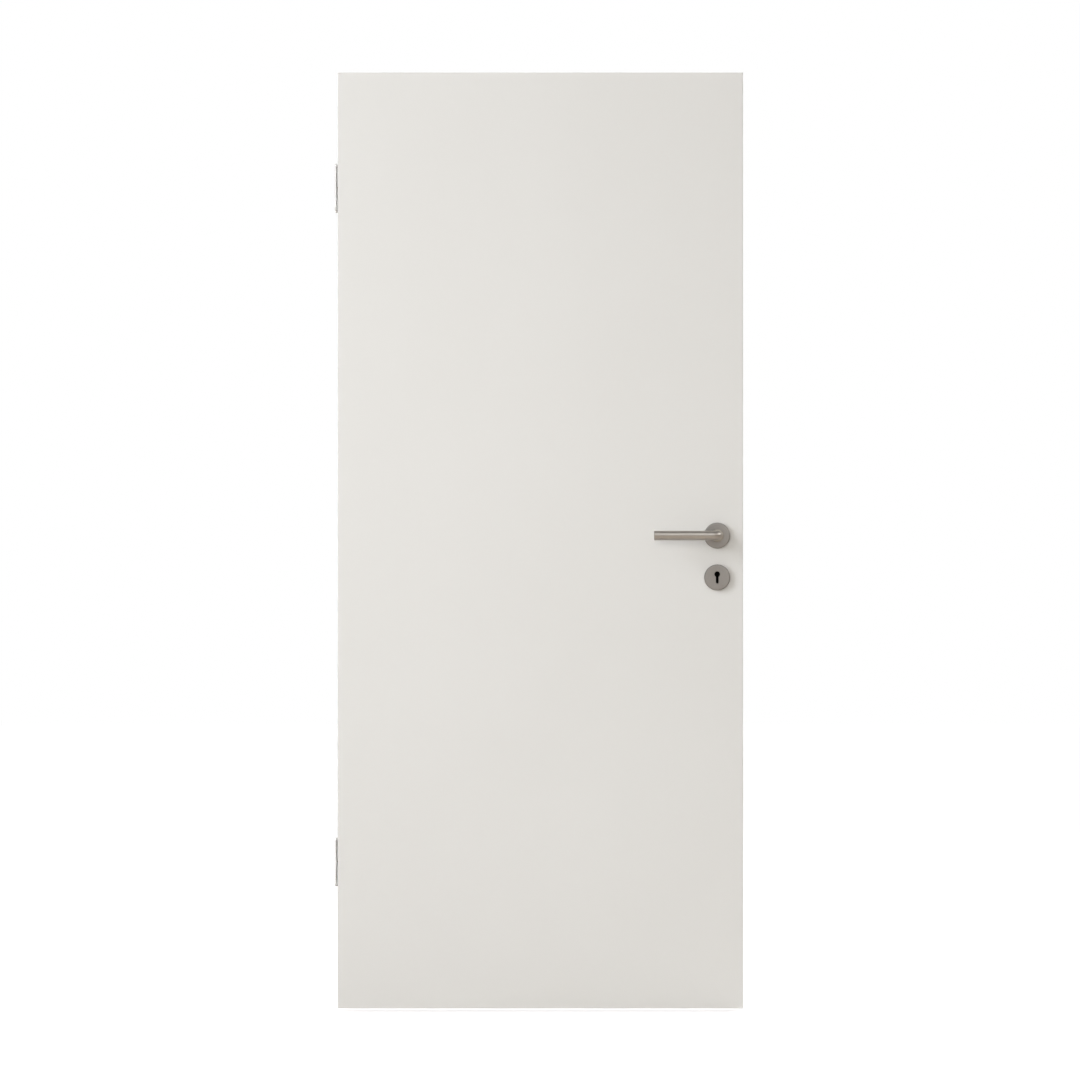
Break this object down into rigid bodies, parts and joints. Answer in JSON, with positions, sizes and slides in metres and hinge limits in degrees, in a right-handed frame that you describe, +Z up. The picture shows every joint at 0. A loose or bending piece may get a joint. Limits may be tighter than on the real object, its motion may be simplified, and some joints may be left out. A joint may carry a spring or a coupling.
{
  "type": "interior door leaf",
  "caption": "Flush white interior door leaf with lift-off hinges, mortise lock, and on each face a round-bar lever on a round rosette with a keyhole escutcheon.",
  "frame": {"origin": "centre of the back face of the lower hinge's frame plate, on the hinge side of the door", "axes": "+X from the hinge edge to the lock edge, +Y from the front face to the rear face, where the hinge knuckles are, +Z up"},
  "size_m": [0.8665, 0.156, 1.985],
  "materials": {
    "lacquer": "white satin lacquer",
    "softwood": "raw softwood",
    "chipboard": "raw extruded chipboard",
    "handle_steel": "satin brushed",
    "lock_steel": "satin",
    "case_steel": "matt black",
    "hinge_coat": "white powder coat",
    "hinge_steel": "satin nickel",
    "washer_brass": "plain",
    "zinc_steel": "bright zinc"
  },
  "bodies": {
    "frame_side": {"lower_hinge_frame_plate": "hinge_coat", "lower_hinge_pin": "hinge_steel", "lower_hinge_washer": "washer_brass", "upper_hinge_frame_plate": "hinge_coat", "upper_hinge_pin": "hinge_steel", "upper_hinge_washer": "washer_brass"},
    "door_leaf": {"front_skin": "lacquer", "rear_skin": "lacquer", "hinge_edge_band": "lacquer", "lock_edge_band": "lacquer", "hinge_stile": "softwood", "lock_stile": "softwood", "top_rail": "softwood", "bottom_rail": "softwood", "lock_block": "softwood", "core": "chipboard", "lock_forend": "lock_steel", "lock_case": "case_steel", "forend_screws": "zinc_steel", "latch_bolt": "lock_steel", "dead_bolt": "lock_steel", "front_rosette": "handle_steel", "front_neck_ring": "handle_steel", "front_escutcheon": "handle_steel", "rear_rosette": "handle_steel", "rear_neck_ring": "handle_steel", "rear_escutcheon": "handle_steel", "lower_hinge_door_plate": "hinge_coat", "lower_hinge_screws": "zinc_steel", "upper_hinge_door_plate": "hinge_coat", "upper_hinge_screws": "zinc_steel"},
    "handles": {"front_lever": "handle_steel", "rear_lever": "handle_steel", "spindle": "zinc_steel", "lock_follower": "case_steel", "front_set_screw": "zinc_steel", "rear_set_screw": "zinc_steel"}
  },
  "joints": [
    {"name": "door_swing", "type": "hinge", "parent": "frame_side", "child": "door_leaf", "pos_m": [0.0045, 0.0205, 0], "axis": [0, 0, 1], "range_deg": [0, 175]},
    {"name": "lever_turn", "type": "hinge", "parent": "door_leaf", "child": "handles", "pos_m": [0.811, -0.005, 0.694], "axis": [0, -1, 0], "range_deg": [0, 40], "stiffness_Nm_per_rad": 1.2, "springref_deg": -45.84}
  ]
}
